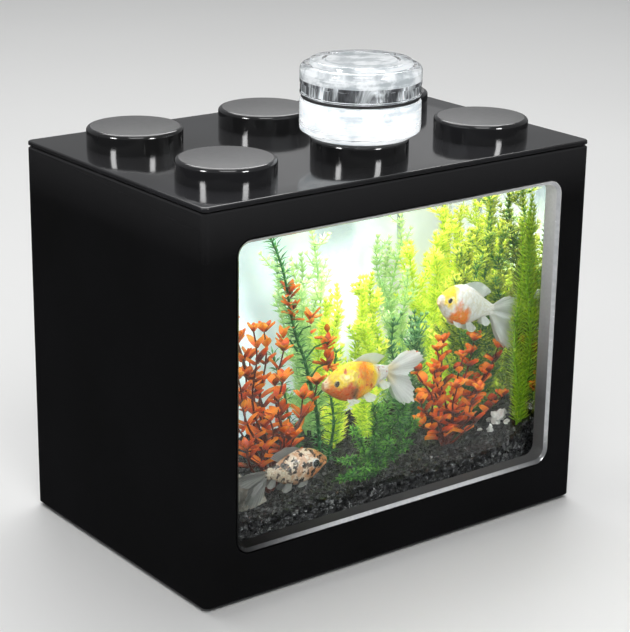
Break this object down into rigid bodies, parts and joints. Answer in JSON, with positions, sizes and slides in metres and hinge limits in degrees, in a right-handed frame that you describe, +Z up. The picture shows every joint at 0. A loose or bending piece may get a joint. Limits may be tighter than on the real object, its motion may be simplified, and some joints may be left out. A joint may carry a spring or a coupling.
{
  "type": "aquarium tank",
  "caption": "Brick-shaped glass aquarium tank: black casing with a front window round a planted tank, lift-off studded lid and a round battery lamp that plugs into a stud.",
  "frame": {"origin": "middle of the footprint, on the surface the tank stands on", "axes": "+X along the wide front towards the right as the window is faced, -Y out of the window, +Z up"},
  "size_m": [0.12, 0.08, 0.1241],
  "materials": {
    "casing_black": "glossy black moulded plastic, slightly soft gloss",
    "lid_black": "polished black moulded plastic with near-mirror top",
    "base_black": "black plastic, fine matt texture",
    "screw_steel": "zinc-plated steel screws",
    "pad_rubber": "dark grey rubber",
    "bright_trim": "bright satin silver, polished chamfer",
    "tank_glass": "clear float glass, arrised edges",
    "silicone": "translucent clear silicone sealant",
    "backdrop_sheet": "pale blue-white satin sheet",
    "gravel_bed": "black crushed gravel, 1 to 2 mm grains",
    "rock": "grey-beige rough stone",
    "pale_stone": "white quartz chip",
    "lamp_clear": "polished clear moulded plastic",
    "lamp_white": "white moulded plastic that glows with the light behind it",
    "lamp_seal": "black rubber O-ring",
    "led_board": "white solder mask",
    "led_chip": "cool white LED, lit",
    "cell_steel": "nickel-plated steel",
    "stem_plant_left": "leaf, waxy and slightly translucent",
    "red_plant_left": "leaf, waxy and slightly translucent",
    "pale_bush": "leaf, waxy and slightly translucent",
    "lime_column_left": "leaf, waxy and slightly translucent",
    "lime_column_right": "leaf, waxy and slightly translucent",
    "back_stems": "leaf, waxy and slightly translucent",
    "dark_stem_plant": "leaf, waxy and slightly translucent",
    "back_bush_right": "leaf, waxy and slightly translucent",
    "lime_bush_right": "leaf, waxy and slightly translucent",
    "tall_bush_right": "leaf, waxy and slightly translucent",
    "stem_plant_right": "leaf, waxy and slightly translucent",
    "red_plant_right": "leaf, waxy and slightly translucent",
    "dark_low_plant": "leaf, waxy and slightly translucent",
    "back_bush_left": "leaf, waxy and slightly translucent",
    "fish_orange": "orange and yellow scales, wet sheen",
    "fish_white": "white scales with orange patches, wet sheen",
    "fish_speckled": "beige scales with brown and black speckles, wet sheen"
  },
  "bodies": {
    "tank": {"outer_casing": "casing_black", "base_plate": "base_black", "base_screw_1": "screw_steel", "base_screw_2": "screw_steel", "base_screw_3": "screw_steel", "base_screw_4": "screw_steel", "rubber_pad_1": "pad_rubber", "rubber_pad_2": "pad_rubber", "rubber_pad_3": "pad_rubber", "rubber_pad_4": "pad_rubber", "window_frame": "bright_trim", "glass_front": "tank_glass", "glass_back": "tank_glass", "glass_left": "tank_glass", "glass_right": "tank_glass", "glass_floor": "tank_glass", "corner_bead_front_left": "silicone", "corner_bead_front_right": "silicone", "corner_bead_back_left": "silicone", "corner_bead_back_right": "silicone", "floor_bead_front": "silicone", "floor_bead_back": "silicone", "floor_bead_left": "silicone", "floor_bead_right": "silicone", "backdrop_sheet": "backdrop_sheet", "gravel_bed": "gravel_bed", "rock": "rock", "pale_stone": "pale_stone", "stem_plant_left": "stem_plant_left", "red_plant_left": "red_plant_left", "pale_bush": "pale_bush", "lime_column_left": "lime_column_left", "lime_column_right": "lime_column_right", "back_stems": "back_stems", "dark_stem_plant": "dark_stem_plant", "back_bush_right": "back_bush_right", "lime_bush_right": "lime_bush_right", "tall_bush_right": "tall_bush_right", "stem_plant_right": "stem_plant_right", "red_plant_right": "red_plant_right", "dark_low_plant": "dark_low_plant", "back_bush_left": "back_bush_left", "fish_orange": "fish_orange", "fish_white": "fish_white", "fish_speckled": "fish_speckled"},
    "lid": {"lid": "lid_black", "light_window": "lamp_clear"},
    "lamp": {"lamp_base": "lamp_clear", "lamp_seal": "lamp_seal", "led_board": "led_board", "led_1": "led_chip", "led_2": "led_chip", "led_3": "led_chip", "battery_holder": "lamp_white", "coin_cell_lower": "cell_steel", "coin_cell_upper": "cell_steel"},
    "lamp_cap": {"lamp_cap": "lamp_clear", "cap_insert": "lamp_white", "contact_plate": "cell_steel", "contact_spring": "cell_steel"}
  },
  "joints": [
    {"name": "lid_lift", "type": "slide", "parent": "tank", "child": "lid", "axis": [0, 0, 1], "range_m": [0, 0.04]},
    {"name": "lamp_lift", "type": "slide", "parent": "lid", "child": "lamp", "axis": [0, 0, 1], "range_m": [0, 0.02]},
    {"name": "lamp_twist", "type": "hinge", "parent": "lamp", "child": "lamp_cap", "pos_m": [0, -0.02, 0.115], "axis": [0, 0, 1], "range_deg": [0, 90]}
  ]
}
